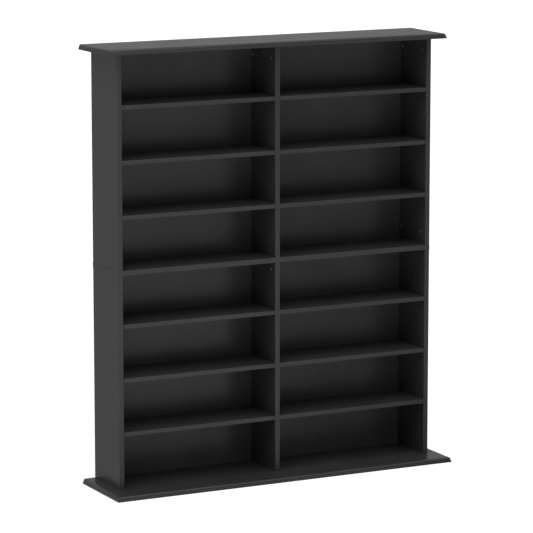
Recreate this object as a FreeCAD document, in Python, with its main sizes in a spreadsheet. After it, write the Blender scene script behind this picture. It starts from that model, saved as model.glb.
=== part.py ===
import FreeCAD, Part
import math
import os
import re
import Sketcher

# A double-width media shelf: two stacked cases of boards between a moulded base and a moulded cap.
# Millimetres. +X is the right-hand side seen from the front, the front faces -Y, +Z is up, and the
# origin is the middle of the footprint, on the floor.

# Driving sizes

SIZES = {
    # the whole
    "overall_height": 1570,
    "case_width": 1242,
    "case_depth": 215,
    "lower_case_height": 762.5,
    "side_overhang": 48,
    "base_overhang": 95,
    "cap_overhang": 30,
    "middle_proud": 1,
    # boards
    "panel_board": 18,
    "shelf_board": 15,
    "back_board": 3,
    # the moulded edge, from its square foot upwards
    "moulding_cove": 2.5,
    "moulding_rise": 1.5,
    "moulding_round": 8,
    # shelves
    "shelves_per_column": 3,
    "lower_first_cell": 190.5,
    "upper_first_cell": 177.5,
    "shelf_side_gap": 1,
    "shelf_back_gap": 1,
    # back panels in their grooves
    "back_setback": 25,
    "groove_depth": 5.5,
    "groove_gap": 0.2,
    "back_end_gap": 0.5,
    # shelf pins and their holes: from the front of the case, and from the back panel
    "pin_inset": 37,
    "pin_rear_inset": 25,
    "pin_hole_step": 32,
    "pin_hole_heights": 2,
    "peg_radius": 2.4,
    "rest_width": 7,
    "rest_length": 8,
    "rest_height": 5,
    "rest_rise": 2.5,
    # where the joints' fittings stand, from the front and from the rear of the case
    "connector_inset": 32,
    "connector_rear_inset": 38,
    "screw_shift": 32,
    # cam locks and their bolts
    "cam_radius": 5,
    "cam_inset": 44,
    "low_cam_inset": 28,
    "bolt_radius": 3,
    "bolt_hold": 11,
    "neck_radius": 1.6,
    "neck_length": 7,
    # wooden dowels
    "dowel_radius": 4,
    "dowel_hold": 11,
    "dowel_reach": 19,
    # screws
    "screw_radius": 2.5,
    "screw_length": 50,
    "head_radius": 4.5,
    "head_height": 3,
    "head_sink": 0.5,
    # clearances, and how far a cut runs past the face that it leaves
    "fit_gap": 0.1,
    "end_gap": 0.5,
    "overrun": 2,
    # sides of the small bars that stand for round shanks and drilled holes, of which there are many
    "bar_sides": 8,
}

# Sizes and places that follow from the driving ones. Shelves are a whole number of hole steps apart, the
# number that comes nearest to equal cells.

PLACES = {
    "board_width": "case_width + 2 * side_overhang",
    "case_front": "(base_overhang - case_depth) / 2",
    "upper_case_height": "overall_height - 3 * panel_board - lower_case_height",
    "middle_underside": "panel_board + lower_case_height",
    "upper_floor": "middle_underside + panel_board",
    "cap_underside": "overall_height - panel_board",
    "side_place": "(case_width - panel_board) / 2",
    "column_width": "(case_width - 3 * panel_board) / 2",
    "column_place": "(column_width + panel_board) / 2",
    "half_board": "panel_board / 2",
    "moulding_foot": "panel_board - moulding_cove - moulding_rise - moulding_round",
    "back_face": "case_depth - back_setback",
    "shelf_depth": "back_face - shelf_back_gap",
    "shelf_length": "column_width - 2 * shelf_side_gap",
    "lower_steps": "round((lower_case_height - lower_first_cell) / shelves_per_column / pin_hole_step)",
    "upper_steps": "round((upper_case_height - upper_first_cell) / shelves_per_column / pin_hole_step)",
    "lower_pitch": "lower_steps * pin_hole_step",
    "upper_pitch": "upper_steps * pin_hole_step",
    "pin_spread": "back_face - pin_inset - pin_rear_inset",
    "pin_hole_depth": "half_board",
    "peg_length": "pin_hole_depth - end_gap",
    "cam_length": "half_board + bolt_radius",
    "connector_spread": "case_depth - connector_inset - connector_rear_inset",
    "joint_middle": "connector_inset + connector_spread / 2",
    "inner_inset": "connector_inset + screw_shift",
    "inner_spread": "connector_spread - 2 * screw_shift",
    "hole_radius": "peg_radius + fit_gap",
}

doc = FreeCAD.newDocument("media_shelf")
pieces = []


def worded(text):
    """The expression with each named size turned into a reference to its cell."""
    def cell(found):
        word = found[0]
        if word in SIZES:
            return f"sizes.{word}"
        if word in PLACES:
            return f"places.{word}"
        return word
    return re.sub(r"[a-z_]+", cell, text)


def fill_sheets():
    """Writes the driving sizes in one sheet and what follows from them in another."""
    sizes = doc.addObject("Spreadsheet::Sheet", "sizes")
    for row, (word, value) in enumerate(SIZES.items(), start=1):
        sizes.set(f"A{row}", word)
        sizes.set(f"B{row}", str(value))
        sizes.setAlias(f"B{row}", word)
    doc.recompute()
    places = doc.addObject("Spreadsheet::Sheet", "places")
    for row, (word, sum_text) in enumerate(PLACES.items(), start=1):
        places.set(f"A{row}", word)
        places.set(f"B{row}", "=" + worded(sum_text).replace("places.", ""))
        places.setAlias(f"B{row}", word)
    doc.recompute()


# Helpers for features

def bind(thing, path, text):
    """Ties one property of an object to a sum of named sizes."""
    thing.setExpression(path, worded(text))


def origin_part(body, role):
    """The body's own origin plane or axis of that role."""
    return next(part for part in body.Origin.OriginFeatures if part.Role == role)


def attach(feature, body, plane, across, up, out):
    """Lays a sketch or a primitive on an origin plane, moved by three sums of named sizes."""
    feature.AttachmentSupport = [(origin_part(body, plane), "")]
    feature.MapMode = "FlatFace"
    for axis, text in zip("xyz", (across, up, out)):
        bind(feature, f"AttachmentOffset.Base.{axis}", text)


def new_body(label, x, z):
    """A body whose origin lies on the case's front plane."""
    body = doc.addObject("PartDesign::Body", label)
    body.Label = label
    body.AllowCompound = True
    bind(body, "Placement.Base.x", x)
    bind(body, "Placement.Base.y", "case_front")
    bind(body, "Placement.Base.z", z)
    pieces.append(body)
    return body


def distance(sketch, direction, geometry, point, text):
    """Holds a point of the sketch at a named distance from the sketch's origin, starting where it is drawn."""
    drawn = sketch.getPoint(geometry, point)
    start = drawn.x if direction == "X" else drawn.y
    index = sketch.addConstraint(Sketcher.Constraint(f"Distance{direction}", -1, 1, geometry, point, start))
    bind(sketch, f"Constraints[{index}]", text)


def rectangle(sketch, left, right, near, far):
    """A rectangle with each side held from the sketch's origin."""
    corners = [(0, 0), (1, 0), (1, 1), (0, 1)]
    for number, corner in enumerate(corners):
        following = corners[(number + 1) % len(corners)]
        sketch.addGeometry(Part.LineSegment(FreeCAD.Vector(*corner, 0), FreeCAD.Vector(*following, 0)))
    for number in range(len(corners)):
        join = (number, 2, (number + 1) % len(corners), 1)
        sketch.addConstraint(Sketcher.Constraint("Coincident", *join))
        sketch.addConstraint(Sketcher.Constraint(("Horizontal", "Vertical")[number % 2], number))
    distance(sketch, "X", 0, 1, left)
    distance(sketch, "Y", 0, 1, near)
    distance(sketch, "X", 2, 1, right)
    distance(sketch, "Y", 2, 1, far)


def block(body, name, x_range, y_range, z_range):
    """A padded rectangle between two named places along each axis."""
    sketch = body.newObject("Sketcher::SketchObject", f"{name}_outline")
    attach(sketch, body, "XY_Plane", "0", "0", z_range[0])
    rectangle(sketch, *x_range, *y_range)
    pad = body.newObject("PartDesign::Pad", name)
    pad.Profile = sketch
    bind(pad, "Length", f"({z_range[1]}) - ({z_range[0]})")
    return pad


def slot(body, name, x_range, y_range, z_range):
    """A pocketed rectangle between two named places along each axis."""
    sketch = body.newObject("Sketcher::SketchObject", f"{name}_outline")
    attach(sketch, body, "XY_Plane", "0", "0", z_range[1])
    rectangle(sketch, *x_range, *y_range)
    pocket = body.newObject("PartDesign::Pocket", name)
    pocket.Profile = sketch
    bind(pocket, "Length", f"({z_range[1]}) - ({z_range[0]})")
    return pocket


def bar(body, name, kind, plane, across, up, ends, radius):
    """A many-sided bar square to an origin plane, added or cut, between two named places."""
    prism = body.newObject(f"PartDesign::{kind}Prism", name)
    attach(prism, body, plane, across, up, ends[0])
    bind(prism, "Circumradius", radius)
    bind(prism, "Height", f"({ends[1]}) - ({ends[0]})")
    bind(prism, "Polygon", "bar_sides")
    return prism


def round_pocket(body, name, y, z, ends, radius):
    """A round hole along X, pocketed between two named places."""
    sketch = body.newObject("Sketcher::SketchObject", f"{name}_circle")
    attach(sketch, body, "YZ_Plane", "0", "0", ends[1])
    circle = Part.Circle(FreeCAD.Vector(0, 0, 0), FreeCAD.Vector(0, 0, 1), SIZES["cam_radius"])
    sketch.addGeometry(circle)
    distance(sketch, "X", 0, 3, y)
    distance(sketch, "Y", 0, 3, z)
    index = sketch.addConstraint(Sketcher.Constraint("Radius", 0, SIZES["cam_radius"]))
    bind(sketch, f"Constraints[{index}]", radius)
    pocket = body.newObject("PartDesign::Pocket", name)
    pocket.Profile = sketch
    bind(pocket, "Length", f"({ends[1]}) - ({ends[0]})")
    return pocket


def turned_disc(body, name, y, z, ends, radius):
    """A round bar along X, turned about its own axis between two named places."""
    sketch = body.newObject("Sketcher::SketchObject", f"{name}_half")
    attach(sketch, body, "XY_Plane", "0", "0", z)
    rectangle(sketch, *ends, y, f"{y} + {radius}")
    turning = body.newObject("PartDesign::Revolution", name)
    turning.Profile = sketch
    turning.ReferenceAxis = (sketch, ["Edge1"])
    return turning


def mirror(role):
    """A move for repeat: a copy on the other side of an origin plane."""
    return ("Mirrored", role, None, None)


def row(role, spread, count="2"):
    """A move for repeat: a count of copies that fills a named length along an origin axis."""
    return ("LinearPattern", role, spread, count)


def repeat(body, name, features, *moves):
    """Copies features by mirrors and rows, each one applied to the result of the one before."""
    whole = body.newObject("PartDesign::MultiTransform", name)
    whole.Originals = features
    steps = []
    for kind, role, spread, count in moves:
        step = body.newObject(f"PartDesign::{kind}", f"{name}_step")
        part = (origin_part(body, role), [""])
        if kind == "Mirrored":
            step.MirrorPlane = part
        else:
            step.Direction = part
            bind(step, "Length", spread)
            bind(step, "Occurrences", count)
        steps.append(step)
    whole.Transformations = steps
    body.Tip = whole
    return whole


# Where fittings repeat

BOTH_SIDES = mirror("YZ_Plane")
BOTH_ENDS = mirror("XY_Plane")
PAIR = row("Y_Axis", "connector_spread")
INNER_PAIR = row("Y_Axis", "inner_spread")
THREE_UPRIGHTS = row("X_Axis", "2 * side_place", "3")
PIN_PAIR = row("Y_Axis", "pin_spread")
LOWER_ROWS = row("Z_Axis", "lower_pitch * (shelves_per_column - 1)", "shelves_per_column")
UPPER_ROWS = row("Z_Axis", "upper_pitch * (shelves_per_column - 1)", "shelves_per_column")
HOLE_ROWS = row("Z_Axis", "pin_hole_step * (pin_hole_heights - 1)", "pin_hole_heights")


# Fittings: each is one feature or two, added as metal or wood, or cut as its own hole with clearance

def dowel(body, name, kind, x, plane_z, up):
    """A dowel across a joint's plane; up is +1 where the board that lies flat is above it."""
    gap = ("0", "0") if kind == "Additive" else ("fit_gap", "end_gap")
    flat_end = f"{plane_z} + {up} * (dowel_hold + {gap[1]})"
    edge_end = f"{plane_z} - {up} * (dowel_reach + {gap[1]})"
    ends = (edge_end, flat_end) if up > 0 else (flat_end, edge_end)
    return bar(body, name, kind, "XY_Plane", x, "joint_middle", ends, f"dowel_radius + {gap[0]}")


def bolt(body, name, x, plane_z, inset):
    """A cam bolt: its shank holds in the board above and its neck ends in the cam lock below."""
    shank = (f"{plane_z} - {inset} + neck_length", f"{plane_z} + bolt_hold")
    neck = (f"{plane_z} - {inset} - neck_radius", f"{plane_z} - {inset} + neck_length")
    return [
        bar(body, name, "Additive", "XY_Plane", x, "connector_inset", shank, "bolt_radius"),
        bar(body, f"{name}_neck", "Additive", "XY_Plane", x, "connector_inset", neck, "neck_radius"),
    ]


def cam_lock(body, name, x, z, face_ends):
    """A cam lock: a round housing flush with a face, with a pocket that lets the bolt's neck in from above."""
    housing = turned_disc(body, name, "connector_inset", z, face_ends, "cam_radius")
    pocket_ends = (f"{z} - neck_radius - end_gap", f"{z} + cam_radius + overrun")
    pocket = bar(body, f"{name}_pocket", "Subtractive", "XY_Plane", x, "connector_inset",
                 pocket_ends, "neck_radius + fit_gap")
    return [housing, pocket]


def screw(body, name, x, y, under_head, up):
    """A screw whose head bears on a ledge; up is +1 where it points upwards."""
    head_end = f"{under_head} - {up} * head_height"
    tip_end = f"{under_head} + {up} * (screw_length - head_height)"
    head = (head_end, under_head) if up > 0 else (under_head, head_end)
    shank = (under_head, tip_end) if up > 0 else (tip_end, under_head)
    return [
        bar(body, f"{name}_head", "Additive", "XY_Plane", x, y, head, "head_radius"),
        bar(body, name, "Additive", "XY_Plane", x, y, shank, "screw_radius"),
    ]


def screw_way(body, name, x, y, mouth, up):
    """The way of a screw through a board that lies flat: a clear hole and a sunk seat for the head."""
    far = "panel_board + overrun" if up > 0 else "0 - overrun"
    seat = f"{mouth} + {up} * (head_height + head_sink)"
    outside = f"{mouth} - {up} * overrun"
    clear = (seat, far) if up > 0 else (far, seat)
    sunk = (outside, seat) if up > 0 else (seat, outside)
    return [
        bar(body, f"{name}_seat", "Subtractive", "XY_Plane", x, y, sunk, "head_radius + fit_gap"),
        bar(body, name, "Subtractive", "XY_Plane", x, y, clear, "screw_radius + fit_gap"),
    ]


# Boards that lie flat: their origin is on the underside, midway between the sides

def flat_board(label, z, half_width, front, rear="case_depth"):
    """A board that spans the whole shelf."""
    body = new_body(label, "0", z)
    block(body, f"{label}_board", (f"-({half_width})", half_width), (front, rear), ("0", "panel_board"))
    return body


def moulded_edge(body, overhang):
    """Cuts the moulding along the left, front and right edges, mitred at the two front corners."""
    half = SIZES["case_width"] / 2 + SIZES["side_overhang"]
    cove = SIZES["moulding_cove"]
    rounding = SIZES["moulding_round"]
    rise = SIZES["moulding_rise"]
    top = SIZES["panel_board"]
    over = SIZES["overrun"]
    foot = top - cove - rise - rounding

    path = body.newObject("Sketcher::SketchObject", f"{body.Label}_moulding_path")
    attach(path, body, "XY_Plane", "0", "0", "0")
    near = -SIZES[overhang]
    far = SIZES["case_depth"] + over
    stops = [(-half, far), (-half, near), (half, near), (half, far)]
    for start, end in zip(stops, stops[1:]):
        path.addGeometry(Part.LineSegment(FreeCAD.Vector(*start, 0), FreeCAD.Vector(*end, 0)))
    path.addConstraint(Sketcher.Constraint("Coincident", 0, 2, 1, 1))
    path.addConstraint(Sketcher.Constraint("Coincident", 1, 2, 2, 1))
    path.addConstraint(Sketcher.Constraint("Vertical", 0))
    path.addConstraint(Sketcher.Constraint("Horizontal", 1))
    path.addConstraint(Sketcher.Constraint("Vertical", 2))
    distance(path, "X", 0, 1, "-board_width / 2")
    distance(path, "Y", 0, 1, "case_depth + overrun")
    distance(path, "Y", 0, 2, f"-{overhang}")
    distance(path, "X", 2, 1, "board_width / 2")
    distance(path, "Y", 2, 2, "case_depth + overrun")

    profile = body.newObject("Sketcher::SketchObject", f"{body.Label}_moulding_profile")
    attach(profile, body, "XZ_Plane", "0", "0", "-(case_depth + overrun)")
    edge = -half
    cove_top = foot + cove
    round_foot = cove_top + rise
    inner = edge + cove + rounding
    points = {
        "outer_foot": (edge - over, foot),
        "edge_foot": (edge, foot),
        "cove_end": (edge + cove, cove_top),
        "round_start": (edge + cove, round_foot),
        "round_end": (inner, top),
        "inner_top": (inner, top + over),
        "outer_top": (edge - over, top + over),
    }

    def line(start, end):
        ends = (FreeCAD.Vector(*points[name], 0) for name in (start, end))
        return profile.addGeometry(Part.LineSegment(*ends))

    def arc(centre, radius, start_quarter, end_quarter):
        circle = Part.Circle(FreeCAD.Vector(*centre, 0), FreeCAD.Vector(0, 0, 1), radius)
        quarter = math.pi / 2
        return profile.addGeometry(Part.ArcOfCircle(circle, start_quarter * quarter, end_quarter * quarter))

    shelf_line = line("outer_foot", "edge_foot")
    cove_arc = arc((edge, cove_top), cove, 3, 4)
    riser = line("cove_end", "round_start")
    round_arc = arc((inner, round_foot), rounding, 1, 2)
    inner_line = line("round_end", "inner_top")
    top_line = line("inner_top", "outer_top")
    outer_line = line("outer_top", "outer_foot")
    joins = [
        (shelf_line, 2, cove_arc, 1),
        (cove_arc, 2, riser, 1),
        (riser, 2, round_arc, 2),
        (round_arc, 1, inner_line, 1),
        (inner_line, 2, top_line, 1),
        (top_line, 2, outer_line, 1),
        (outer_line, 2, shelf_line, 1),
    ]
    for join in joins:
        profile.addConstraint(Sketcher.Constraint("Coincident", *join))
    for level in (shelf_line, top_line):
        profile.addConstraint(Sketcher.Constraint("Horizontal", level))
    for upright_line in (riser, inner_line, outer_line):
        profile.addConstraint(Sketcher.Constraint("Vertical", upright_line))
    profile.addConstraint(Sketcher.Constraint("Vertical", cove_arc, 3, cove_arc, 1))
    profile.addConstraint(Sketcher.Constraint("Horizontal", cove_arc, 3, cove_arc, 2))
    profile.addConstraint(Sketcher.Constraint("Horizontal", round_arc, 3, round_arc, 2))
    profile.addConstraint(Sketcher.Constraint("Vertical", round_arc, 3, round_arc, 1))
    distance(profile, "X", cove_arc, 1, "-board_width / 2")
    distance(profile, "Y", cove_arc, 1, "moulding_foot")
    distance(profile, "X", outer_line, 1, "-board_width / 2 - overrun")
    distance(profile, "Y", outer_line, 1, "panel_board + overrun")
    distance(profile, "Y", riser, 1, "moulding_foot + moulding_cove")
    distance(profile, "Y", riser, 2, "moulding_foot + moulding_cove + moulding_rise")
    distance(profile, "Y", round_arc, 1, "panel_board")

    cutter = body.newObject("PartDesign::SubtractivePipe", f"{body.Label}_moulding")
    cutter.Profile = profile
    cutter.Spine = (path, ["Edge1", "Edge2", "Edge3"])
    cutter.Transition = "Right corner"


def base_board():
    """The wide board on the floor, with screw ways from below and dowel holes on top."""
    body = flat_board("base_board", "0", "board_width / 2", "-base_overhang")
    moulded_edge(body, "base_overhang")
    ways = screw_way(body, "base_way", "-side_place", "connector_inset", "0", 1)
    repeat(body, "base_ways", ways, THREE_UPRIGHTS, PAIR)
    hole = dowel(body, "base_dowel_hole", "Subtractive", "-side_place", "panel_board", -1)
    repeat(body, "base_dowel_holes", [hole], THREE_UPRIGHTS)


def top_board():
    """The moulded cap, with bolt holes and dowel holes in its underside."""
    body = flat_board("top_board", "cap_underside", "board_width / 2", "-cap_overhang")
    moulded_edge(body, "cap_overhang")
    ends = ("0 - overrun", "bolt_hold + end_gap")
    bolt_hole = bar(body, "cap_bolt_hole", "Subtractive", "XY_Plane", "-side_place", "connector_inset",
                    ends, "bolt_radius + fit_gap")
    repeat(body, "cap_bolt_holes", [bolt_hole], THREE_UPRIGHTS, PAIR)
    hole = dowel(body, "cap_dowel_hole", "Subtractive", "-side_place", "0", 1)
    repeat(body, "cap_dowel_holes", [hole], THREE_UPRIGHTS)


def middle_panel():
    """The board between the cases, screwed down to the lower one and bolted up to the upper one."""
    body = flat_board("middle_panel", "middle_underside", "case_width / 2 + middle_proud", "0")
    upper_ends = ("panel_board - bolt_hold - end_gap", "panel_board + overrun")
    upper_hole = bar(body, "side_bolt_hole", "Subtractive", "XY_Plane", "-side_place", "connector_inset",
                     upper_ends, "bolt_radius + fit_gap")
    repeat(body, "side_bolt_holes", [upper_hole], BOTH_SIDES, PAIR)
    lower_ends = ("0 - overrun", "bolt_hold + end_gap")
    bar(body, "divider_bolt_hole", "Subtractive", "XY_Plane", "0", "connector_inset",
        lower_ends, "bolt_radius + fit_gap")
    side_ways = screw_way(body, "side_way", "-side_place", "inner_inset", "panel_board", -1)
    repeat(body, "side_ways", side_ways, BOTH_SIDES, INNER_PAIR)
    screw_way(body, "divider_way", "0", "inner_inset + inner_spread", "panel_board", -1)
    hole = dowel(body, "middle_dowel_hole", "Subtractive", "-side_place", "panel_board", -1)
    repeat(body, "middle_dowel_holes", [hole], THREE_UPRIGHTS)


# Boards that stand: their origin is in the middle of their thickness and of their height

def groove(body, side, height):
    """The groove that holds a back panel's edge; side is -1 for the left face and +1 for the right."""
    skin = f"{side} * (half_board + overrun)"
    floor = f"{side} * (half_board - groove_depth)"
    x_range = (skin, floor) if side < 0 else (floor, skin)
    y_range = ("back_face - groove_gap", "back_face + back_board + groove_gap")
    z_range = (f"-({height}) / 2 - overrun", f"({height}) / 2 + overrun")
    slot(body, f"{body.Label}_groove", x_range, y_range, z_range)


def pin_holes(body, sides, height, first_cell, shelf_rows):
    """Two columns of shelf pin holes: blind in a side board, right through a divider."""
    blind_end = "half_board - pin_hole_depth"
    low = "-(half_board + overrun)" if -1 in sides else blind_end
    high = "half_board + overrun" if 1 in sides else f"-({blind_end})"
    first = f"{first_cell} - rest_rise - {height} / 2"
    hole = bar(body, f"{body.Label}_pin_hole", "Subtractive", "YZ_Plane", "pin_inset", first,
               (low, high), "hole_radius")
    repeat(body, f"{body.Label}_pin_holes", [hole], HOLE_ROWS, PIN_PAIR, shelf_rows)


def upright(label, x, z, height, first_cell, shelf_rows, sides):
    """A standing board with its grooves and shelf pin holes on the sides that face a column."""
    body = new_body(label, x, f"{z} + {height} / 2")
    z_range = (f"-({height}) / 2", f"({height}) / 2")
    block(body, f"{label}_board", ("-half_board", "half_board"), ("0", "case_depth"), z_range)
    for side in sides:
        groove(body, side, height)
    pin_holes(body, sides, height, first_cell, shelf_rows)
    return body


def screw_pilots(body, name, y, height, end, moves):
    """Holes for screw tips in a board's edge; end is -1 at its foot and +1 at its top."""
    reach = "screw_length - panel_board + head_sink + end_gap"
    edge = f"{end} * (({height}) / 2 + overrun)"
    tip = f"{end} * (({height}) / 2 - ({reach}))"
    ends = (edge, tip) if end < 0 else (tip, edge)
    hole = bar(body, name, "Subtractive", "XY_Plane", "0", y, ends, "screw_radius + fit_gap")
    if moves:
        repeat(body, f"{name}s", [hole], *moves)


def edge_dowel(body, height, end):
    """The dowel hole in a board's edge; end is -1 at its foot and +1 at its top."""
    dowel(body, f"{body.Label}_dowel_hole", "Subtractive", "0", f"{end} * ({height}) / 2", end)


def cam_seat(body, side, height, inset):
    """The seat of a cam lock in a board's face and the way of its bolt from the board's top edge."""
    skin = f"{side} * (half_board + overrun)"
    floor = f"{side} * (half_board - cam_length - end_gap)"
    z = f"({height}) / 2 - {inset}"
    ends = (skin, floor) if side < 0 else (floor, skin)
    seat = round_pocket(body, f"{body.Label}_cam_seat", "connector_inset", z, ends,
                        "cam_radius + fit_gap")
    way = bar(body, f"{body.Label}_bolt_way", "Subtractive", "XY_Plane", "0", "connector_inset",
              (z, f"({height}) / 2 + overrun"), "bolt_radius + fit_gap")
    return [seat, way]


def lower_uprights():
    """The lower case: two sides and a divider, screwed from below and from the middle panel."""
    height = "lower_case_height"
    boards = {
        "lower_left_side": ("-side_place", (1,)),
        "lower_right_side": ("side_place", (-1,)),
        "lower_divider": ("0", (-1, 1)),
    }
    for label, (x, sides) in boards.items():
        body = upright(label, x, "panel_board", height, "lower_first_cell", LOWER_ROWS, sides)
        edge_dowel(body, height, -1)
        screw_pilots(body, f"{label}_foot_pilot", "connector_inset", height, -1, [PAIR])
        if label == "lower_divider":
            rear = "inner_inset + inner_spread"
            screw_pilots(body, f"{label}_top_pilot", rear, height, 1, [])
            cam_seat(body, -1, height, "low_cam_inset")
        else:
            screw_pilots(body, f"{label}_top_pilot", "inner_inset", height, 1, [INNER_PAIR])


def upper_uprights():
    """The upper case: two sides with cam locks at both ends and a divider with them at its top."""
    height = "upper_case_height"
    boards = {
        "upper_left_side": ("-side_place", (1,)),
        "upper_right_side": ("side_place", (-1,)),
        "upper_divider": ("0", (-1, 1)),
    }
    for label, (x, sides) in boards.items():
        body = upright(label, x, "upper_floor", height, "upper_first_cell", UPPER_ROWS, sides)
        edge_dowel(body, height, -1)
        edge_dowel(body, height, 1)
        seats = cam_seat(body, sides[0], height, "cam_inset")
        moves = [PAIR] if label == "upper_divider" else [BOTH_ENDS, PAIR]
        repeat(body, f"{label}_cam_seats", seats, *moves)


# Back panels and loose shelves

def back_panel(label, x, z, height):
    """A thin panel held by its two side edges in the grooves."""
    body = new_body(label, x, z)
    half = "column_width / 2 + groove_depth - back_end_gap"
    block(body, f"{label}_board", (f"-({half})", half), ("back_face", "back_face + back_board"),
          ("0", height))


def shelf(label, x, z):
    """A loose shelf that lies on four pins."""
    body = new_body(label, x, z)
    block(body, f"{label}_board", ("-shelf_length / 2", "shelf_length / 2"), ("0", "shelf_depth"),
          ("0", "shelf_board"))


def shelf_pins(label, x, z, shelf_rows):
    """The pins of one column: pegs in the uprights, each with a flat rest under a shelf."""
    body = new_body(label, x, z)
    face = "column_width / 2"
    y_range = ("pin_inset - rest_width / 2", "pin_inset + rest_width / 2")
    rest = block(body, f"{label}_rest", (f"-{face}", f"rest_length - {face}"), y_range,
                 ("-rest_height", "0"))
    peg = bar(body, f"{label}_peg", "Additive", "YZ_Plane", "pin_inset", "-rest_rise",
              (f"-{face} - peg_length", f"-{face}"), "peg_radius")
    repeat(body, f"{label}_set", [rest, peg], BOTH_SIDES, PIN_PAIR, shelf_rows)


def columns():
    """The four columns, each with its back panel, its shelves and their pins."""
    cases = {
        "lower": ("panel_board", "lower_case_height", "lower_first_cell", "lower_pitch", LOWER_ROWS),
        "upper": ("upper_floor", "upper_case_height", "upper_first_cell", "upper_pitch", UPPER_ROWS),
    }
    for case, (floor, height, first_cell, pitch, shelf_rows) in cases.items():
        for side, x in (("left", "-column_place"), ("right", "column_place")):
            column = f"{case}_{side}"
            back_panel(f"{column}_back", x, floor, height)
            first = f"{floor} + {first_cell}"
            for number in range(int(SIZES["shelves_per_column"])):
                shelf(f"{column}_shelf_{number + 1}", x, f"{first} + {number} * {pitch}")
            shelf_pins(f"{column}_shelf_pins", x, first, shelf_rows)


# Fittings of the joints

def cam_fittings():
    """The cam locks and bolts of the upper sides, the upper divider and the lower divider."""
    half = "upper_case_height / 2"
    middle = f"upper_floor + {half}"
    inner_face = "half_board - side_place"
    locks = new_body("side_cam_locks", "0", middle)
    lock = cam_lock(locks, "side_lock", "-side_place", f"{half} - cam_inset",
                    (f"{inner_face} - cam_length", inner_face))
    repeat(locks, "side_locks", lock, BOTH_SIDES, BOTH_ENDS, PAIR)
    bolts = new_body("side_cam_bolts", "0", middle)
    repeat(bolts, "side_bolts", bolt(bolts, "side_bolt", "-side_place", half, "cam_inset"),
           BOTH_SIDES, BOTH_ENDS, PAIR)

    face_ends = ("-half_board", "cam_length - half_board")
    locks = new_body("upper_divider_cam_locks", "0", "cap_underside")
    lock = cam_lock(locks, "upper_lock", "0", "-cam_inset", face_ends)
    repeat(locks, "upper_locks", lock, PAIR)
    bolts = new_body("upper_divider_cam_bolts", "0", "cap_underside")
    repeat(bolts, "upper_bolts", bolt(bolts, "upper_bolt", "0", "0", "cam_inset"), PAIR)

    lock = new_body("lower_divider_cam_lock", "0", "middle_underside")
    cam_lock(lock, "lower_lock", "0", "-low_cam_inset", face_ends)
    bolts = new_body("lower_divider_cam_bolt", "0", "middle_underside")
    bolt(bolts, "lower_bolt", "0", "0", "low_cam_inset")


def dowels():
    """One dowel in the middle of each joint that has cam locks or screws at its ends."""
    joints = {
        "base_dowels": ("panel_board", -1),
        "middle_dowels": ("upper_floor", -1),
        "cap_dowels": ("cap_underside", 1),
    }
    for label, (z, up) in joints.items():
        body = new_body(label, "0", z)
        pin = dowel(body, f"{label}_pin", "Additive", "-side_place", "0", up)
        repeat(body, f"{label}_row", [pin], THREE_UPRIGHTS)


def screws():
    """The screws that hold the lower case from the base board and from the middle panel."""
    body = new_body("base_screws", "0", "0")
    ledge = "head_height + head_sink"
    one = screw(body, "base_screw", "-side_place", "connector_inset", ledge, 1)
    repeat(body, "base_screw_set", one, THREE_UPRIGHTS, PAIR)
    body = new_body("middle_side_screws", "0", "upper_floor")
    one = screw(body, "middle_screw", "-side_place", "inner_inset", f"-({ledge})", -1)
    repeat(body, "middle_screw_set", one, BOTH_SIDES, INNER_PAIR)
    body = new_body("middle_divider_screw", "0", "upper_floor")
    screw(body, "divider_screw", "0", "inner_inset + inner_spread", f"-({ledge})", -1)


def export_pieces():
    """Stops on any fault, and writes one file for each piece."""
    doc.recompute()
    for thing in doc.Objects:
        if "Invalid" in thing.State or "Error" in thing.State:
            raise RuntimeError(f"{thing.Label}: {thing.State}")
    os.makedirs("parts", exist_ok=True)
    for piece in pieces:
        shape = piece.Shape
        if shape.isNull() or not shape.isValid():
            raise RuntimeError(f"{piece.Label}: no valid shape")
        shape.exportStep(f"parts/{piece.Label}.step")
        print(f"{piece.Label}: {len(shape.Solids)} solids, {shape.Volume:.0f} cubic mm")


fill_sheets()
base_board()
lower_uprights()
middle_panel()
upper_uprights()
top_board()
columns()
cam_fittings()
dowels()
screws()
export_pieces()
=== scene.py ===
import math

import bmesh
import bpy
from mathutils import Matrix, Vector


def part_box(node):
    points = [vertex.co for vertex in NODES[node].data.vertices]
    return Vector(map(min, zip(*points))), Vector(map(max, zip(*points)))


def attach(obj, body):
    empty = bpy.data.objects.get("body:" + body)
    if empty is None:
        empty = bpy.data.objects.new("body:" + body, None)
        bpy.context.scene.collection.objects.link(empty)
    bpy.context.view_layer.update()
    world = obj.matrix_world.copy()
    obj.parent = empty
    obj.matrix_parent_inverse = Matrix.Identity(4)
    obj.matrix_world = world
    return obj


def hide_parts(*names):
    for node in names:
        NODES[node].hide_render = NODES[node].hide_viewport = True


# The looks of a black media shelf: finishes for its boards, detailed fittings, a floor, light and a camera

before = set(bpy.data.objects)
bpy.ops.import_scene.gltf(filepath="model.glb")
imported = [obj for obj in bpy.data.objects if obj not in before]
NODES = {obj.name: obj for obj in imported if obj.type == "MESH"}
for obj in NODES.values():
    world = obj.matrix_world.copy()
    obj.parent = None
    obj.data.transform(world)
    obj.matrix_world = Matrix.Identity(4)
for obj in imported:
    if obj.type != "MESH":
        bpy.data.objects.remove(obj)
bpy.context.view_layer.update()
MM = 0.001

# The body that all but the loose shelves ride on
CARCASS = "carcass"

# Two directions, and plain white
UP = Vector((0.0, 0.0, 1.0))
LEVEL = Vector((1.0, 0.0, 0.0))
WHITE = (1.0, 1.0, 1.0, 1.0)

# The boxes of the sides and dividers, in which the fittings are set, and the least depth that counts as set
UPRIGHTS = [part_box(name) for name in sorted(NODES) if name.endswith(("_side", "_divider"))]
MARGIN = 1.0 * MM

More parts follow.
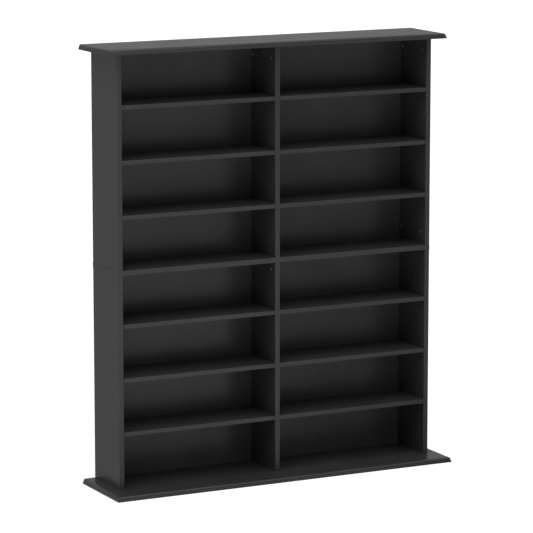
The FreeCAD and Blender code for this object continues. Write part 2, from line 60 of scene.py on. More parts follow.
# Corners nearer to each other than this are one corner, and solids are put in order by this many digits
SAME_SPOT = 0.01 * MM
PLACE_DIGITS = 4

# The camera: where it stands, which way it looks, and its lens
CAMERA_PLACE = Vector((-4.921, -9.673, 2.655))
CAMERA_HEADING = math.radians(26.90)
CAMERA_TILT = math.radians(9.92)
CAMERA_LENS_MM = 208.2
SENSOR_MM = 36.0

# The floor, in metres. The camera sees it white, with an even glow that keeps the shadows on it faint. What
# it throws on the object is strongest straight ahead, and weaker to the right, behind, far away and close by.
# Ahead to right is X over the distance in front of a centre behind the object.
FLOOR_HALF = 40.0
FLOOR_SEEN = 0.30
FLOOR_GLOW = 0.80
FLOOR_THROWN_AHEAD = 1.60
FLOOR_THROWN_RIGHT = 0.70
FLOOR_AHEAD_TO_RIGHT = (0.28, 0.49)
FLOOR_CENTRE_DEPTH = 1.0
FLOOR_LEAST_DISTANCE = 1.0
FLOOR_TO_BEHIND = (-0.6, 0.3)
FLOOR_BEHIND_SHARE = 0.36
FLOOR_FROM_FAR = (-13.0, -8.5)
FLOOR_FAR_SHARE = 0.72
FLOOR_TO_NEAR = (-2.5, -0.7)
FLOOR_NEAR_SHARE = 0.72
FLOOR_CLOUD_SCALE = 0.7
FLOOR_CLOUD_RANGE = (0.3, 0.7)
FLOOR_CLOUD_TONES = (0.99, 1.0)
FLOOR_ROUGHNESS = (0.85, 0.92)
FLOOR_SPECULAR = 0.1

# The room, dim all round and dimmest in front, and its sky, high in front and brightest to the left. Their
# ranges are parts of a direction of length one. The camera sees plain white instead.
BACKDROP_SEEN = 1.0
ROOM_DEPTHS = (-0.4, 0.4)
ROOM_GLOW_BEFORE = 0.19
ROOM_GLOW_BEHIND = 0.42
SKY_GLOW = 3.6
SKY_HEIGHTS = (0.47, 0.66)
SKY_DEPTHS = (0.25, -0.15)
SKY_SIDES = (-0.3, 0.4)
SKY_RIGHT_SHARE = 0.3

# Tones of the finishes, as linear light
LAMINATE_DARK = (0.0240, 0.0240, 0.0243, 1.0)
LAMINATE_LIGHT = (0.0305, 0.0305, 0.0308, 1.0)
LAMINATE_PORE = (0.013, 0.013, 0.0132, 1.0)
LAMINATE_WORN = (0.06, 0.058, 0.055, 1.0)
BACK_DARK = (0.0370, 0.0370, 0.0374, 1.0)
BACK_LIGHT = (0.0455, 0.0455, 0.0460, 1.0)
ZINC_DARK = (0.34, 0.34, 0.35, 1.0)
ZINC_LIGHT = (0.62, 0.62, 0.63, 1.0)
STEEL_DARK = (0.42, 0.42, 0.43, 1.0)
STEEL_LIGHT = (0.66, 0.66, 0.66, 1.0)
BEECH_DARK = (0.42, 0.25, 0.13, 1.0)
BEECH_LIGHT = (0.62, 0.42, 0.25, 1.0)

# The axis that a grain runs along
ALONG_X = 0
ALONG_Y = 1
ALONG_Z = 2

# The black laminate. In every texture a scale is features in a metre, and a pair of scales is along an axis
# and across it. A range is the stretch of a texture's values that is spread out.
PORE_SCALES = (105.0, 1500.0)
PORE_RANGE = (0.58, 0.72)
PORE_TONE_SHARE = 0.6
PORE_ROUGHER = 0.10
PORE_DEPTH = 0.03 * MM
PEBBLE_SCALE = 1500.0
PEBBLE_DEPTH = 0.010 * MM
STREAK_SCALES = (3.2, 60.0)
STREAK_SHARE = 0.4
CLOUD_SCALE = 6.5
CLOUD_SHARE = 0.6
TONE_RANGE = (0.36, 0.64)
MOTTLE_RANGE = (0.35, 0.65)
RUB_SCALE = 85.0
RUB_RANGE = (0.47, 0.66)
RUB_REACH = 0.9 * MM
RUB_TONE_SHARE = 0.55
RUB_ROUGHER = -0.08
LAMINATE_ROUGHNESS = (0.27, 0.34)
LAMINATE_SPECULAR = 0.25
BOARD_IOR = 1.5

# The fibre of the back panels
FIBRE_SCALES = (110.0, 900.0)
FIBRE_TONE_RANGE = (0.30, 0.42)
FIBRE_TONE_SHARE = 0.4
FIBRE_ROUGH_RANGE = (0.15, 0.40)
FIBRE_DEPTH = 0.03 * MM
BACK_CLOUD_SCALE = 5.0
BACK_CLOUD_RANGE = (0.35, 0.65)
BACK_ROUGHNESS = (0.23, 0.29)
BACK_SPECULAR = 0.20

# The metals of the fittings
CAST_SCALE = 420.0
CAST_RANGE = (0.35, 0.65)
METAL_ROUGH_RANGE = (0.12, 0.42)
METAL_RUB_REACH = 0.35 * MM
METAL_RUB_SHARE = 0.7
SCRATCH_DEPTH = 0.01 * MM
ZINC_SCRATCHES = (2400.0, 300.0)
ZINC_ROUGHNESS = (0.32, 0.5)
STEEL_SCRATCHES = (200.0, 2400.0)
STEEL_ROUGHNESS = (0.25, 0.42)

# The wood of the dowels
BEECH_GRAIN_SCALES = (70.0, 1100.0)
BEECH_GRAIN_RANGE = (0.3, 0.7)
BEECH_FLECK_SCALES = (420.0, 2600.0)
BEECH_FLECK_RANGE = (0.62, 0.72)
BEECH_FLECK_SHARE = 0.6
BEECH_ROUGHNESS = (0.5, 0.68)
BEECH_DEPTH = 0.05 * MM

# How well a rounded edge's normal agrees with the face's own, off the edge and on it
EDGE_AGREEMENT = (0.995, 0.86)
EDGE_SAMPLES = 4

# The boards' edges: their rounding, and from which angle on an edge is rounded
UPRIGHT_ROUNDING = 0.5 * MM
SHELF_ROUNDING = 0.5 * MM
PANEL_ROUNDING = 0.3 * MM
BACK_ROUNDING = 0.2 * MM
ROUNDED_ANGLE = math.radians(50)
ROUNDING_STEPS = 2

# The angle from which on an edge of a fitting looks sharp
SHARP_ANGLE = math.radians(32)


# Helpers for the node trees

def feed(tree, node, values):
    """Sets or links each named input of a node and returns the node."""
    for key, value in values.items():
        if isinstance(value, bpy.types.NodeSocket):
            tree.links.new(value, node.inputs[key])
        else:
            node.inputs[key].default_value = value
    return node


def noise(tree, place, scale, detail=3.0, roughness=0.5):
    """A noise texture's grey value."""
    node = tree.nodes.new("ShaderNodeTexNoise")
    feed(tree, node, {"Vector": place, "Scale": scale, "Detail": detail, "Roughness": roughness})
    return node.outputs["Fac"]


def grained(tree, place, axis, along, across, detail=3.0, roughness=0.5):
    """A noise with one scale along an axis and another across it."""
    scales = tuple(along if index == axis else across for index in range(3))
    stretched = feed(tree, tree.nodes.new("ShaderNodeMapping"), {"Vector": place, "Scale": scales})
    return noise(tree, stretched.outputs["Vector"], 1.0, detail, roughness)


def spread(tree, value, low, high, out_low=0.0, out_high=1.0):
    """Maps low..high of a value to out_low..out_high, clamped."""
    node = tree.nodes.new("ShaderNodeMapRange")
    feed(tree, node, {"Value": value, "From Min": low, "From Max": high,
                      "To Min": out_low, "To Max": out_high})
    return node.outputs["Result"]


def joined(tree, kind, first, second):
    """Two values joined by a math node of a kind."""
    node = tree.nodes.new("ShaderNodeMath")
    node.operation = kind
    feed(tree, node, {0: first, 1: second})
    return node.outputs[0]


def plus(tree, first, second):
    """The sum of two values."""
    return joined(tree, "ADD", first, second)


def times(tree, first, second):
    """The product of two values."""
    return joined(tree, "MULTIPLY", first, second)


def blend(tree, first, second, share, kind="RGBA"):
    """A mix of two colours, or of two values where the kind is FLOAT."""
    node = tree.nodes.new("ShaderNodeMix")
    node.data_type = kind
    feed(tree, node, {"Factor": share, "A": first, "B": second})
    return node.outputs["Result"]


def bumped(tree, height, distance, under=None, strength=0.5):
    """A normal tipped by a height, which a first bump may lie under."""
    node = tree.nodes.new("ShaderNodeBump")
    feed(tree, node, {"Height": height, "Distance": distance, "Strength": strength})
    if under is not None:
        feed(tree, node, {"Normal": under})
    return node.outputs["Normal"]


def near_edge(tree, radius):
    """How near a point is to a sharp edge, from zero on a flat face."""
    rounded = tree.nodes.new("ShaderNodeBevel")
    rounded.samples = EDGE_SAMPLES
    feed(tree, rounded, {"Radius": radius})
    flat = tree.nodes.new("ShaderNodeNewGeometry")
    dot = tree.nodes.new("ShaderNodeVectorMath")
    dot.operation = "DOT_PRODUCT"
    feed(tree, dot, {0: rounded.outputs["Normal"], 1: flat.outputs["Normal"]})
    return spread(tree, dot.outputs["Value"], *EDGE_AGREEMENT)


def started(name):
    """A new material, its tree, its shader and its object coordinates."""
    material = bpy.data.materials.new(name)
    material.use_nodes = True
    tree = material.node_tree
    shader = tree.nodes["Principled BSDF"]
    place = tree.nodes.new("ShaderNodeTexCoord").outputs["Object"]
    return material, tree, shader, place


# The finishes

def laminate(name, axis):
    """A black board: embossed pores along the grain, a fine pebble, faint clouds and rubbed edges."""
    material, tree, shader, place = started(name)
    pores = spread(tree, grained(tree, place, axis, *PORE_SCALES, roughness=0.6), *PORE_RANGE)
    streaks = grained(tree, place, axis, *STREAK_SCALES)
    clouds = noise(tree, place, CLOUD_SCALE)
    pebble = noise(tree, place, PEBBLE_SCALE, detail=2.0, roughness=0.6)
    rub = spread(tree, noise(tree, place, RUB_SCALE, detail=4.0, roughness=0.65), *RUB_RANGE)
    worn = times(tree, near_edge(tree, RUB_REACH), rub)

    tone = plus(tree, times(tree, clouds, CLOUD_SHARE), times(tree, streaks, STREAK_SHARE))
    colour = blend(tree, LAMINATE_DARK, LAMINATE_LIGHT, spread(tree, tone, *TONE_RANGE))
    colour = blend(tree, colour, LAMINATE_PORE, times(tree, pores, PORE_TONE_SHARE))
    colour = blend(tree, colour, LAMINATE_WORN, times(tree, worn, RUB_TONE_SHARE))

    mottle = times(tree, plus(tree, clouds, streaks), 0.5)
    roughness = spread(tree, mottle, *MOTTLE_RANGE, *LAMINATE_ROUGHNESS)
    roughness = plus(tree, roughness, times(tree, pores, PORE_ROUGHER))
    roughness = plus(tree, roughness, times(tree, worn, RUB_ROUGHER))

    normal = bumped(tree, pebble, PEBBLE_DEPTH)
    normal = bumped(tree, joined(tree, "SUBTRACT", 1.0, pores), PORE_DEPTH, normal)
    feed(tree, shader, {"Base Color": colour, "Roughness": roughness, "Normal": normal,
                        "IOR": BOARD_IOR, "Specular IOR Level": LAMINATE_SPECULAR})
    return material


def fibre_back(name):
    """The thin back panels, with a fine crossed fibre."""
    material, tree, shader, place = started(name)
    upright = grained(tree, place, ALONG_Z, *FIBRE_SCALES, roughness=0.6)
    level = grained(tree, place, ALONG_X, *FIBRE_SCALES, roughness=0.6)
    fibre = times(tree, upright, level)
    clouds = noise(tree, place, BACK_CLOUD_SCALE)
    colour = blend(tree, BACK_DARK, BACK_LIGHT, spread(tree, clouds, *BACK_CLOUD_RANGE))
    colour = blend(tree, colour, LAMINATE_PORE, spread(tree, fibre, *FIBRE_TONE_RANGE, 0.0, FIBRE_TONE_SHARE))
    feed(tree, shader, {"Base Color": colour,
                        "Roughness": spread(tree, fibre, *FIBRE_ROUGH_RANGE, *BACK_ROUGHNESS),
                        "Normal": bumped(tree, fibre, FIBRE_DEPTH),
                        "IOR": BOARD_IOR, "Specular IOR Level": BACK_SPECULAR})
    return material


def metal(name, dark, light, roughnesses, axis, scratch_scales):
    """A bare or plated metal: cast or drawn tone, fine scratches and brighter rubbed edges."""
    material, tree, shader, place = started(name)
    cast = noise(tree, place, CAST_SCALE, roughness=0.6)
    lines = grained(tree, place, axis, *scratch_scales, detail=2.0)
    colour = blend(tree, dark, light, spread(tree, cast, *CAST_RANGE))
    colour = blend(tree, colour, light, times(tree, near_edge(tree, METAL_RUB_REACH), METAL_RUB_SHARE))
    roughness = spread(tree, times(tree, cast, lines), *METAL_ROUGH_RANGE, *roughnesses)
    feed(tree, shader, {"Base Color": colour, "Roughness": roughness, "Metallic": 1.0,
                        "Normal": bumped(tree, lines, SCRATCH_DEPTH, strength=0.4)})
    return material


def beech(name):
    """The dowels' pale close-grained wood."""
    material, tree, shader, place = started(name)
    grain = grained(tree, place, ALONG_Z, *BEECH_GRAIN_SCALES, detail=4.0, roughness=0.6)
    flecks = grained(tree, place, ALONG_Z, *BEECH_FLECK_SCALES, detail=2.0)
    colour = blend(tree, BEECH_DARK, BEECH_LIGHT, spread(tree, grain, *BEECH_GRAIN_RANGE))
    colour = blend(tree, colour, BEECH_DARK, spread(tree, flecks, *BEECH_FLECK_RANGE, 0.0, BEECH_FLECK_SHARE))
    feed(tree, shader, {"Base Color": colour,
                        "Roughness": spread(tree, grain, *BEECH_GRAIN_RANGE, *BEECH_ROUGHNESS),
                        "Normal": bumped(tree, grain, BEECH_DEPTH)})
    return material


def pale_floor(name):
    """The plain floor, with the faintest unevenness, one glow for the camera and another for the object."""
    material, tree, shader, place = started(name)
    clouds = noise(tree, place, FLOOR_CLOUD_SCALE, detail=2.0)
    parts = feed(tree, tree.nodes.new("ShaderNodeSeparateXYZ"), {"Vector": place})
    depth = parts.outputs["Y"]
    ahead = joined(tree, "SUBTRACT", FLOOR_CENTRE_DEPTH, depth)
    turn = joined(tree, "DIVIDE", parts.outputs["X"], joined(tree, "MAXIMUM", ahead, FLOOR_LEAST_DISTANCE))
    thrown = spread(tree, turn, *FLOOR_AHEAD_TO_RIGHT, FLOOR_THROWN_AHEAD, FLOOR_THROWN_RIGHT)
    for share in (spread(tree, depth, *FLOOR_TO_BEHIND, 1.0, FLOOR_BEHIND_SHARE),
                  spread(tree, depth, *FLOOR_FROM_FAR, FLOOR_FAR_SHARE, 1.0),
                  spread(tree, depth, *FLOOR_TO_NEAR, 1.0, FLOOR_NEAR_SHARE)):
        thrown = times(tree, thrown, share)
    seen = tree.nodes.new("ShaderNodeLightPath").outputs["Is Camera Ray"]
    glow = blend(tree, thrown, FLOOR_GLOW, seen, "FLOAT")
    tone = times(tree, times(tree, seen, FLOOR_SEEN),
                 spread(tree, clouds, *FLOOR_CLOUD_RANGE, *FLOOR_CLOUD_TONES))
    colour = feed(tree, tree.nodes.new("ShaderNodeCombineColor"), {"Red": tone, "Green": tone, "Blue": tone})
    feed(tree, shader, {"Base Color": colour.outputs["Color"], "Specular IOR Level": FLOOR_SPECULAR,
                        "Roughness": spread(tree, clouds, *FLOOR_CLOUD_RANGE, *FLOOR_ROUGHNESS),
                        "Emission Color": WHITE, "Emission Strength": glow})
    return material


# The boards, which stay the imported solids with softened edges

def clothe(name, material, rounding):
    """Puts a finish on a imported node, joins the corners of its faces and rounds its sharp edges a little."""
    node = NODES[name]
    node.data.materials.clear()
    node.data.materials.append(material)
    weld = node.modifiers.new("joined_corners", "WELD")
    weld.merge_threshold = SAME_SPOT
    bevel = node.modifiers.new("softened_edges", "BEVEL")
    bevel.width = rounding
    bevel.segments = ROUNDING_STEPS
    bevel.limit_method = "ANGLE"
    bevel.angle_limit = ROUNDED_ANGLE
    bevel.harden_normals = True


def dress_boards():
    """Finishes the uprights, the shelves, the three boards that lie across, and the backs."""
    upright_finish = laminate("upright_laminate", ALONG_Z)
    level_finish = laminate("level_laminate", ALONG_X)
    back_finish = fibre_back("back_board")
    for name in sorted(NODES):
        if name.endswith(("_side", "_divider")):
            clothe(name, upright_finish, UPRIGHT_ROUNDING)
        elif "_shelf_" in name and not name.endswith("_pins"):
            clothe(name, level_finish, SHELF_ROUNDING)
        elif name.endswith(("_board", "_panel")):
            clothe(name, level_finish, PANEL_ROUNDING)
        elif name.endswith("_back"):
            clothe(name, back_finish, BACK_ROUNDING)


# Mesh code for the fittings, in millimetres

def turned(mesh, rings, sides=24, carve=None, base=(0.0, 0.0, 0.0)):
    """Adds a solid turned about Z through rings of (height, radius), less what carve takes off a radius."""
    loops = []
    for height, radius in rings:
        loop = []
        for step in range(sides):
            angle = math.tau * step / sides
            reach = radius - (carve(height, step / sides) if carve else 0.0)
            spot = Vector((reach * math.cos(angle), reach * math.sin(angle), height)) + Vector(base)
            loop.append(mesh.verts.new(spot * MM))
        loops.append(loop)
    for lower, upper in zip(loops, loops[1:]):
        for step in range(sides):
            after = (step + 1) % sides
            mesh.faces.new((lower[step], lower[after], upper[after], upper[step]))
    mesh.faces.new(tuple(reversed(loops[0])))
    mesh.faces.new(tuple(loops[-1]))


def held(mesh, name):
    """A finished mesh block from a bmesh."""
    block = bpy.data.meshes.new(name)
    mesh.to_mesh(block)
    mesh.free()
    return block


def turned_block(name, rings, sides, carve=None):
    """A mesh block of one turned solid."""
    mesh = bmesh.new()
    turned(mesh, rings, sides, carve)
    return held(mesh, name)


def boxed_block(name, low, high, taper=1.0):
    """A mesh block of one box, whose low end is narrowed to a share of its top."""
    mesh = bmesh.new()
    middle = [(a + b) / 2 for a, b in zip(low, high)]
    corners = []
    for z, share in ((low[2], taper), (high[2], 1.0)):
        for x, y in ((low[0], low[1]), (high[0], low[1]), (high[0], high[1]), (low[0], high[1])):
            spot = (middle[0] + (x - middle[0]) * share, middle[1] + (y - middle[1]) * share, z)
            corners.append(mesh.verts.new(Vector(spot) * MM))
    for face in ((3, 2, 1, 0), (4, 5, 6, 7), (0, 1, 5, 4), (1, 2, 6, 5), (2, 3, 7, 6), (3, 0, 4, 7)):
        mesh.faces.new([corners[index] for index in face])
    return held(mesh, name)


def less(body, cutters):
    """A mesh block with others cut out of it one after the other."""
    solid = bpy.data.objects.new("solid", body)
    bpy.context.scene.collection.objects.link(solid)
    tools = []
    for cutter in cutters:
        tool = bpy.data.objects.new("cutter", cutter)
        bpy.context.scene.collection.objects.link(tool)
        cut = solid.modifiers.new("cut", "BOOLEAN")
        cut.operation = "DIFFERENCE"
        cut.solver = "EXACT"
        cut.object = tool
        tools.append(tool)
    result = bpy.data.meshes.new_from_object(solid.evaluated_get(bpy.context.evaluated_depsgraph_get()))
    for thing in [solid, *tools]:
        bpy.data.objects.remove(thing)
    return result


def cross_recess(depth, reach, width):
    """The two cutters of a driver's cross, sunk into a face at height zero."""
    narrowed, overrun = 0.72, 0.5
    return [boxed_block("cross", (-x, -y, -depth), (x, y, overrun), narrowed)
            for x, y in ((reach, width), (width, reach))]


def thread(start, end, pitch, depth):
    """What a screw's thread takes off its radius at a height and a share of a turn."""
    flank = 3.2

    def carve(height, turn):
        """Nothing outside the thread, and inside it most halfway between two crests."""
        if not start < height < end:
            return 0.0
        along = (height / pitch - turn) % 1.0
        return depth * min(1.0, abs(along - 0.5) * flank)
    return carve


def levels(start, end, step):
    """Heights from start to end, evenly spaced by about a step."""
    count = max(1, round((end - start) / step))
    return [start + (end - start) * index / count for index in range(count + 1)]


# The fittings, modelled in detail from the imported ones' sizes

def cam_lock_mesh(radius, length, bolt_depth):
    """A cam lock that faces up Z: a rim with a driver's cross, a waisted drum and a window towards +X."""
    rim, rim_round, waist = 2.4, 0.35, 0.3
    foot, foot_step = 0.4, 0.7
    drum = turned_block("cam_lock", [
        (-length, radius - foot_step), (foot - length, radius - waist), (-rim - waist, radius - waist),
        (-rim, radius), (-rim_round, radius), (0.0, radius - rim_round)], sides=40)

    half_height, half_width, wall, overrun = 2.4, 2.1, 1.4, 1.0
    low, high = -bolt_depth - half_height, half_height - bolt_depth
    window = boxed_block("window", (0.0, -half_width, low), (radius + overrun, half_width, high))
    hollow = turned_block("hollow", [(low, radius - wall), (high, radius - wall)], sides=32)

    mark_from, mark_to, mark_half_width, mark_depth, mark_top = 1.55, 0.75, 0.3, 0.35, 0.5
    mark = boxed_block("mark", (radius - mark_from, -mark_half_width, -mark_depth),
                       (radius - mark_to, mark_half_width, mark_top))
    return less(drum, [*cross_recess(depth=2.3, reach=2.7, width=0.65), window, hollow, mark])


def cam_bolt_mesh(length):
    """A cam bolt along Z from its round head at zero to its threaded end."""
    radius, neck_radius, neck_end, hold = 3.0, 1.6, 8.6, 11.0
    flange_radius, end_height, end_step = radius + 0.9, 0.8, 1.0
    start, end = length - hold, length - end_height
    head = [(0.0, 1.3), (0.5, 2.1), (1.3, 2.45), (2.3, 2.1), (2.8, neck_radius), (neck_end, neck_radius)]
    shoulder = [(neck_end + 0.4, radius - 0.2), (neck_end + 0.8, radius)]
    flange = [(start - 1.4, radius), (start - 1.2, flange_radius), (start - 0.2, flange_radius)]
    threaded = [(height, radius) for height in levels(start, end, step=0.45)]
    tip = [(length, radius - end_step)]
    return turned_block("cam_bolt", [*head, *shoulder, *flange, *threaded, *tip], sides=20,
                        carve=thread(start, end, pitch=2.0, depth=0.85))


def screw_mesh(length):
    """A screw that points up Z from its flat head at zero, with a driver's cross and a coarse thread."""
    radius, head_radius, head_height, shank = 2.5, 4.5, 3.0, 4.0
    rim, rim_middle, under_rim = 0.5, 0.15, 0.3
    point_length, point_middle, point_narrowed, tip_radius = 5.0, 2.5, 0.62, 0.25
    start, end = head_height + shank, length - point_length
    head = [(0.0, head_radius - rim), (rim_middle, head_radius - rim_middle), (rim, head_radius),
            (head_height - under_rim, head_radius), (head_height, head_radius - under_rim),
            (head_height, radius)]
    threaded = [(height, radius) for height in levels(start, end, step=0.55)]
    point = [(length - point_middle, radius * point_narrowed), (length, tip_radius)]
    screw = turned_block("screw", [*head, *threaded, *point], sides=16,
                         carve=thread(start, end, pitch=3.0, depth=0.8))
    turned_over = Matrix.Diagonal((1.0, -1.0, -1.0, 1.0))
    crosses = cross_recess(depth=2.0, reach=2.3, width=0.6)
    for cross in crosses:
        cross.transform(turned_over)
    return less(screw, crosses)


def dowel_mesh(length):
    """A fluted dowel with chamfered ends, centred on the origin."""
    radius, half, flutes, flute_depth = 4.0, length / 2, 20, 0.32
    end_step, end_height, flute_start, plain_end = 1.1, 1.4, 1.7, 1.6

    def flute(height, turn):
        """The flutes' depth at every second step of a turn, and nothing near the ends."""
        return flute_depth if abs(height) < half - plain_end and round(turn * 2 * flutes) % 2 else 0.0

    rings = [(-half, radius - end_step), (end_height - half, radius), (flute_start - half, radius),
             (half - flute_start, radius), (half - end_height, radius), (half, radius - end_step)]
    return turned_block("dowel", rings, 2 * flutes, flute)


def shelf_pin_rest(length, width, height):
    """The flat rest of a shelf pin: a nosed plate under the shelf on a web down the upright."""
    nose, nose_round, nose_drop, lip, lip_drop = 0.8, 0.15, 0.25, 0.5, 1.5
    hollow, web, foot, foot_rise = 2.6, 1.3, 0.9, 0.6
    sharp_from, edge_round = math.radians(40), 0.3 * MM
    outline = [(0.0, 0.0), (length - nose, 0.0), (length - nose_round, -nose_drop), (length, -nose),
               (length - lip, -lip_drop), (hollow, -hollow), (web, -height + foot_rise), (foot, -height),
               (0.0, -height)]
    mesh = bmesh.new()
    loop = [mesh.verts.new(Vector((x, -width / 2, z)) * MM) for z, x in outline]
    face = mesh.faces.new(loop)
    grown = bmesh.ops.extrude_face_region(mesh, geom=[face])["geom"]
    moved = [item for item in grown if isinstance(item, bmesh.types.BMVert)]
    bmesh.ops.translate(mesh, verts=moved, vec=Vector((0.0, width, 0.0)) * MM)
    bmesh.ops.recalc_face_normals(mesh, faces=mesh.faces)
    sharp = [edge for edge in mesh.edges if edge.calc_face_angle(0.0) > sharp_from]
    bmesh.ops.bevel(mesh, geom=sharp, offset=edge_round, segments=2, profile=0.5, affect="EDGES")
    return held(mesh, "rest")


def shelf_pin_mesh(peg, length, width, height):
    """A shelf pin: Z leads out of the upright's face at zero, X up to the shelf's underside at zero."""
    radius, tip, slack, waist = 2.4, 0.7, 0.05, 0.15
    rib_start, rib_low, rib_high, rib_end = -5.2, -5.0, -4.4, -4.2
    collar_start, collar_low, collar_end = -1.2, -1.0, 0.3
    stub_start, stub_end, stub_round = 0.8, 1.0, 0.2
    base = (-height / 2, 0.0, 0.0)
    mesh = bmesh.new()
    turned(mesh, [(-peg, radius - tip), (tip - peg, radius - slack), (rib_start, radius - slack),
                  (rib_low, radius), (rib_high, radius), (rib_end, radius - waist),
                  (collar_start, radius - waist), (collar_low, radius), (collar_end, radius)], base=base)
    turned(mesh, [(0.0, radius), (stub_start, radius), (stub_end, radius - stub_round)], base=base)
    mesh.from_mesh(shelf_pin_rest(length, width, height))
    return held(mesh, "shelf_pin")


# Where the fittings go: a box is a pair of corners, the lowest and the highest

def solids_of(name):
    """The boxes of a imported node's separate solids, in order of place."""
    mesh = NODES[name].data
    spots = [tuple(round(value / SAME_SPOT) for value in vertex.co) for vertex in mesh.vertices]
    parent = {spot: spot for spot in spots}

    def root(spot):
        """The corner that stands for all the corners joined to this one so far."""
        while parent[spot] != spot:
            spot = parent[spot]
        return spot

    for polygon in mesh.polygons:
        first = root(spots[polygon.vertices[0]])
        for index in polygon.vertices[1:]:
            parent[root(spots[index])] = first
    groups = {}
    for vertex, spot in zip(mesh.vertices, spots):
        groups.setdefault(root(spot), []).append(vertex.co)
    boxes = [(Vector(map(min, zip(*group))), Vector(map(max, zip(*group)))) for group in groups.values()]
    return sorted(boxes, key=lambda box: tuple(round(value, PLACE_DIGITS) for value in box[0]))


def middle_of(box):
    """The middle of a box."""
    return (box[0] + box[1]) / 2


def height_of(box):
    """A box's height in millimetres."""
    return (box[1] - box[0]).z / MM


def axes(out, toward, place):
    """The matrix that turns Z to out and X to toward, and moves the origin to a place."""
    across = out.cross(toward)
    turn = Matrix((toward, across, out)).transposed().to_4x4()
    return Matrix.Translation(place) @ turn


def upright_of(box):
    """The box of the upright that a fitting is set in."""
    height = middle_of(box).z
    for low, high in UPRIGHTS:
        if low.z < height < high.z and low.x + MARGIN < box[1].x and box[0].x < high.x - MARGIN:
            return low, high
    raise ValueError("a fitting lies in no upright")


def foot_in_upright(box):
    """Whether the lower end of a fitting that stands upright lies in one of the uprights."""
    foot = middle_of(box)
    foot.z = box[0].z + MARGIN
    return any(low.z < foot.z < high.z and low.x < foot.x < high.x for low, high in UPRIGHTS)


def upended(box, out):
    """The matrix of a fitting that starts at one end of its box and leads up or down to the other."""
    middle = middle_of(box)
    start = box[0].z if out.z > 0 else box[1].z
    return axes(out, LEVEL, Vector((middle.x, middle.y, start)))


def cam_locks(boxes):
    """The cam locks' mesh and matrices: each is flush with a face, and its window looks to the nearer end."""
    matrices = []
    for low, high in boxes:
        middle = middle_of((low, high))
        upright = upright_of((low, high))
        out = LEVEL if upright[1].x - high.x < low.x - upright[0].x else -LEVEL
        face = Vector((high.x if out.x > 0 else low.x, middle.y, middle.z))
        window = UP if middle.z > middle_of(upright).z else -UP
        matrices.append(axes(out, window, face))
    size = (boxes[0][1] - boxes[0][0]) / MM
    low, high = upright_of(boxes[0])
    return cam_lock_mesh(size.z / 2, size.x, bolt_depth=(high.x - low.x) / 2 / MM), matrices


def cam_bolts(boxes):
    """The cam bolts' mesh and matrices: each starts with its head, in an upright."""
    matrices = [upended(box, UP if foot_in_upright(box) else -UP) for box in boxes]
    return cam_bolt_mesh(height_of(boxes[0])), matrices


def screws(boxes):
    """The screws' mesh and matrices: each ends with its tip, in an upright."""
    matrices = [upended(box, -UP if foot_in_upright(box) else UP) for box in boxes]
    return screw_mesh(height_of(boxes[0])), matrices


def dowels(boxes):
    """The dowels' mesh and matrices."""
    return dowel_mesh(height_of(boxes[0])), [axes(UP, LEVEL, middle_of(box)) for box in boxes]


def shelf_pins(boxes):
    """The shelf pins' mesh and matrices: each leads out of its upright into the column."""
    column = sum(middle_of(box).x for box in boxes) / len(boxes)
    matrices = []
    for low, high in boxes:
        middle = middle_of((low, high))
        upright = upright_of((low, high))
        out = LEVEL if middle.x < column else -LEVEL
        face = Vector((upright[1].x if out.x > 0 else upright[0].x, middle.y, high.z))
        matrices.append(axes(out, UP, face))
    low, high = boxes[0]
    rest = high.x - upright_of(boxes[0])[1].x
    block = shelf_pin_mesh(peg=(high.x - low.x - rest) / MM, length=rest / MM,
                           width=(high.y - low.y) / MM, height=(high.z - low.z) / MM)
    return block, matrices


def set_out(name, block, matrices, material, node):
    """One piece of copies of a mesh block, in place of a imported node."""
    mesh = bmesh.new()
    for matrix in matrices:
        before = len(mesh.verts)
        mesh.from_mesh(block)
        mesh.verts.ensure_lookup_table()
        bmesh.ops.transform(mesh, matrix=matrix, verts=mesh.verts[before:])
    whole = held(mesh, name)
    whole.shade_smooth()
    whole.set_sharp_from_angle(angle=SHARP_ANGLE)
    whole.materials.append(material)
    piece = bpy.data.objects.new(name, whole)
    bpy.context.scene.collection.objects.link(piece)
    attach(piece, CARCASS)
    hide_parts(node)


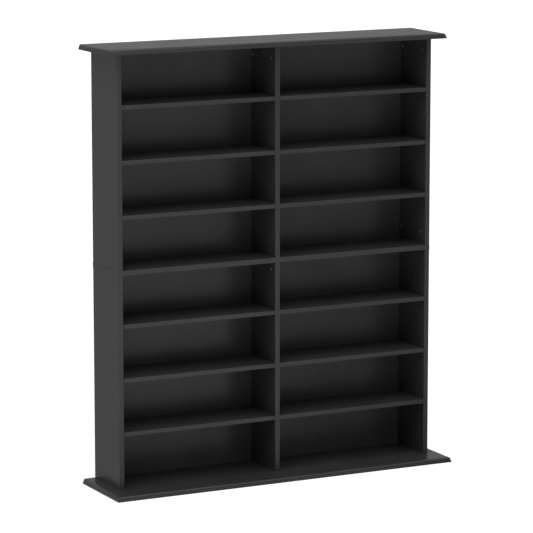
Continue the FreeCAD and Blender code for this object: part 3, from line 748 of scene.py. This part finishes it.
def dress_fittings():
    """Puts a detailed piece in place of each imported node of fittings."""
    zinc = metal("cast_zinc", ZINC_DARK, ZINC_LIGHT, ZINC_ROUGHNESS, ALONG_Y, ZINC_SCRATCHES)
    steel = metal("drawn_steel", STEEL_DARK, STEEL_LIGHT, STEEL_ROUGHNESS, ALONG_Z, STEEL_SCRATCHES)
    kinds = {
        "_cam_lock": (cam_locks, zinc, "cam_zinc"),
        "_cam_bolt": (cam_bolts, steel, "bolt_steel"),
        "_screw": (screws, steel, "screw_steel"),
        "_dowels": (dowels, beech("beech"), "beech"),
        "_pins": (shelf_pins, steel, "pin_steel"),
    }
    for node in sorted(NODES):
        for word, (laid_out, material, slot) in kinds.items():
            if word in node:
                block, matrices = laid_out(solids_of(node))
                set_out(f"{node}_detailed", block, matrices, material, node)


# The stage, the light and the camera

def lay_floor():
    """A wide square floor."""
    mesh = bpy.data.meshes.new("floor")
    corners = [(x * FLOOR_HALF, y * FLOOR_HALF, 0.0) for x, y in ((-1, -1), (1, -1), (1, 1), (-1, 1))]
    mesh.from_pydata(corners, [], [(0, 1, 2, 3)])
    floor = bpy.data.objects.new("floor", mesh)
    bpy.context.scene.collection.objects.link(floor)
    mesh.materials.append(pale_floor("pale_floor"))


def fill_world():
    """A dim room with a wide bright sky over the front."""
    world = bpy.data.worlds.new("studio")
    world.use_nodes = True
    tree = world.node_tree
    place = tree.nodes.new("ShaderNodeTexCoord").outputs["Generated"]
    parts = feed(tree, tree.nodes.new("ShaderNodeSeparateXYZ"), {"Vector": place})
    depth = parts.outputs["Y"]
    room = spread(tree, depth, *ROOM_DEPTHS, ROOM_GLOW_BEFORE, ROOM_GLOW_BEHIND)
    share = times(tree, spread(tree, parts.outputs["Z"], *SKY_HEIGHTS), spread(tree, depth, *SKY_DEPTHS))
    share = times(tree, share, spread(tree, parts.outputs["X"], *SKY_SIDES, 1.0, SKY_RIGHT_SHARE))
    thrown = blend(tree, room, SKY_GLOW, share, "FLOAT")
    seen = tree.nodes.new("ShaderNodeLightPath").outputs["Is Camera Ray"]
    glow = blend(tree, thrown, BACKDROP_SEEN, seen, "FLOAT")
    feed(tree, tree.nodes["Background"], {"Color": WHITE, "Strength": glow})
    bpy.context.scene.world = world
    bpy.context.scene.view_settings.view_transform = "Standard"


def place_camera():
    """The camera at the photograph's viewing angle."""
    data = bpy.data.cameras.new("camera")
    data.lens = CAMERA_LENS_MM
    data.sensor_width = SENSOR_MM
    camera = bpy.data.objects.new("camera", data)
    camera.location = CAMERA_PLACE
    camera.rotation_euler = (math.pi / 2 - CAMERA_TILT, 0.0, -CAMERA_HEADING)
    bpy.context.scene.collection.objects.link(camera)
    bpy.context.scene.camera = camera


dress_boards()
dress_fittings()
lay_floor()
fill_world()
place_camera()
